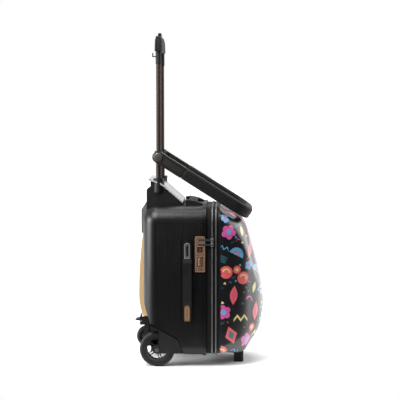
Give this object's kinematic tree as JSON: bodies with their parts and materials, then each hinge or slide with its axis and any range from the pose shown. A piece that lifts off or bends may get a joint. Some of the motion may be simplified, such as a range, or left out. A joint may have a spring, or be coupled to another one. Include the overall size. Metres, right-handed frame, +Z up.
{
  "type": "ride on suitcase",
  "caption": "Child's ride-on suitcase: hard case on spoked wheels with a telescopic handle, padded hinged safety bar, swing-out rear support wheel, carry handles and combination lock.",
  "frame": {"origin": "floor under the middle of the object's bounding box", "axes": "+X to the front shell, -Y to the side with the lock and side handle, +Z up"},
  "size_m": [0.39, 0.2758, 0.988],
  "materials": {
    "shell_black": "satin moulded shell with fine ribs",
    "shell_print": "clear-coated printed shell",
    "zip_tape_black": "woven tape",
    "zip_chain_black": "moulded zip teeth",
    "trim_black": "satin moulded trim",
    "gloss_black": "polished moulding",
    "tube_bronze": "anodised, satin",
    "grip_black": "soft-touch moulding",
    "pad_black": "closed foam skin",
    "gold": "satin gold coat",
    "rose_gold": "satin rose gold coat",
    "silver": "brushed",
    "tyre_black": "moulded polyurethane",
    "rim_black": "moulded rim",
    "foot_rubber": "moulded rubber",
    "nylon_white": "plain nylon"
  },
  "bodies": {
    "case": {"rear_shell": "shell_black", "front_shell": "shell_print", "front_rim": "trim_black", "zip_tape": "zip_tape_black", "zip_chains": "zip_chain_black", "zip_sliders": "silver", "lock_body": "rose_gold", "lock_dial_axle": "silver", "wheel_housing_left": "trim_black", "wheel_housing_right": "trim_black", "axle_left": "silver", "axle_right": "silver", "handle_base": "trim_black", "seat_plate": "gloss_black", "tube_collars": "trim_black", "outer_tube_left": "tube_bronze", "outer_tube_right": "tube_bronze", "bar_bracket_left": "trim_black", "bar_bracket_right": "trim_black", "bar_pins": "silver", "back_frame": "trim_black", "hinge_bracket": "trim_black", "hinge_pin": "silver", "top_handle_caps": "trim_black", "front_foot": "foot_rubber", "side_feet": "foot_rubber"},
    "handle": {"inner_tube_left": "tube_bronze", "inner_tube_right": "tube_bronze", "grip_body": "grip_black", "tube_sockets": "grip_black", "bag_hooks": "grip_black", "tube_plugs": "nylon_white"},
    "handle_button": {"handle_button": "gloss_black"},
    "safety_bar": {"bar_core": "tube_bronze", "bar_pad": "pad_black", "bar_arm_left": "trim_black", "bar_arm_right": "trim_black"},
    "wheel_left": {"tyre_left": "tyre_black", "rim_left": "rim_black", "bearings_left": "silver"},
    "wheel_right": {"tyre_right": "tyre_black", "rim_right": "rim_black", "bearings_right": "silver"},
    "support_arm": {"support_arm": "gold", "support_fork": "trim_black", "support_axle": "silver", "pedal_pin": "silver"},
    "support_wheel": {"support_tyre": "tyre_black", "support_hub": "rim_black"},
    "kick_pedal": {"kick_pedal": "trim_black"},
    "top_handle_grip": {"top_handle_grip": "grip_black"},
    "side_handle_grip": {"side_handle_grip": "grip_black", "side_cap_upper": "silver", "side_cap_lower": "gold"},
    "lock_dial_1": {"lock_dial_1": "rose_gold"},
    "lock_dial_2": {"lock_dial_2": "rose_gold"},
    "lock_dial_3": {"lock_dial_3": "rose_gold"},
    "lock_button": {"lock_button": "rose_gold"},
    "zip_pull_upper": {"zip_pull_upper": "silver"},
    "zip_pull_lower": {"zip_pull_lower": "silver"}
  },
  "joints": [
    {"name": "handle_slide", "type": "slide", "parent": "case", "child": "handle", "axis": [0, 0, 1], "range_m": [-0.254, 0]},
    {"name": "handle_button_press", "type": "slide", "parent": "handle", "child": "handle_button", "axis": [0, 0, -1], "range_m": [0, 0.004], "stiffness_N_per_m": 400, "springref_m": -0.003},
    {"name": "safety_bar_hinge", "type": "hinge", "parent": "case", "child": "safety_bar", "pos_m": [-0.118, 0, 0.6205], "axis": [0, -1, 0], "range_deg": [0, 112]},
    {"name": "wheel_left_spin", "type": "hinge", "parent": "case", "child": "wheel_left", "pos_m": [-0.121, 0.111, 0.052], "axis": [0, 1, 0], "continuous": true},
    {"name": "wheel_right_spin", "type": "hinge", "parent": "case", "child": "wheel_right", "pos_m": [-0.121, -0.111, 0.052], "axis": [0, 1, 0], "continuous": true},
    {"name": "support_arm_hinge", "type": "hinge", "parent": "case", "child": "support_arm", "pos_m": [-0.1669, 0, 0.4], "axis": [0, 1, 0], "range_deg": [0, 65]},
    {"name": "support_wheel_spin", "type": "hinge", "parent": "support_arm", "child": "support_wheel", "pos_m": [-0.16, 0, 0.068], "axis": [0, 1, 0], "continuous": true},
    {"name": "kick_pedal_press", "type": "hinge", "parent": "support_arm", "child": "kick_pedal", "pos_m": [-0.177, 0, 0.117], "axis": [0, -1, 0], "range_deg": [0, 12], "stiffness_Nm_per_rad": 0.3, "springref_deg": -11.46},
    {"name": "top_handle_pull", "type": "slide", "parent": "case", "child": "top_handle_grip", "axis": [0, 0, 1], "range_m": [0, 0.018], "stiffness_N_per_m": 100, "springref_m": -0.005},
    {"name": "side_handle_pull", "type": "slide", "parent": "case", "child": "side_handle_grip", "axis": [0, -1, 0], "range_m": [0, 0.018], "stiffness_N_per_m": 100, "springref_m": -0.005},
    {"name": "lock_dial_1_turn", "type": "hinge", "parent": "case", "child": "lock_dial_1", "pos_m": [0.0065, -0.1262, 0.3245], "axis": [0, 0, 1], "continuous": true},
    {"name": "lock_dial_2_turn", "type": "hinge", "parent": "case", "child": "lock_dial_2", "pos_m": [0.0065, -0.1262, 0.3155], "axis": [0, 0, 1], "continuous": true},
    {"name": "lock_dial_3_turn", "type": "hinge", "parent": "case", "child": "lock_dial_3", "pos_m": [0.0065, -0.1262, 0.3065], "axis": [0, 0, 1], "continuous": true},
    {"name": "lock_button_press", "type": "slide", "parent": "case", "child": "lock_button", "axis": [0, 1, 0], "range_m": [0, 0.002], "stiffness_N_per_m": 300, "springref_m": -0.002},
    {"name": "zip_pull_upper_swing", "type": "hinge", "parent": "case", "child": "zip_pull_upper", "pos_m": [0.042, -0.1335, 0.379], "axis": [0, 0, 1], "range_deg": [0, 100]},
    {"name": "zip_pull_lower_swing", "type": "hinge", "parent": "case", "child": "zip_pull_lower", "pos_m": [0.042, -0.1335, 0.365], "axis": [0, 0, 1], "range_deg": [0, 100]}
  ]
}
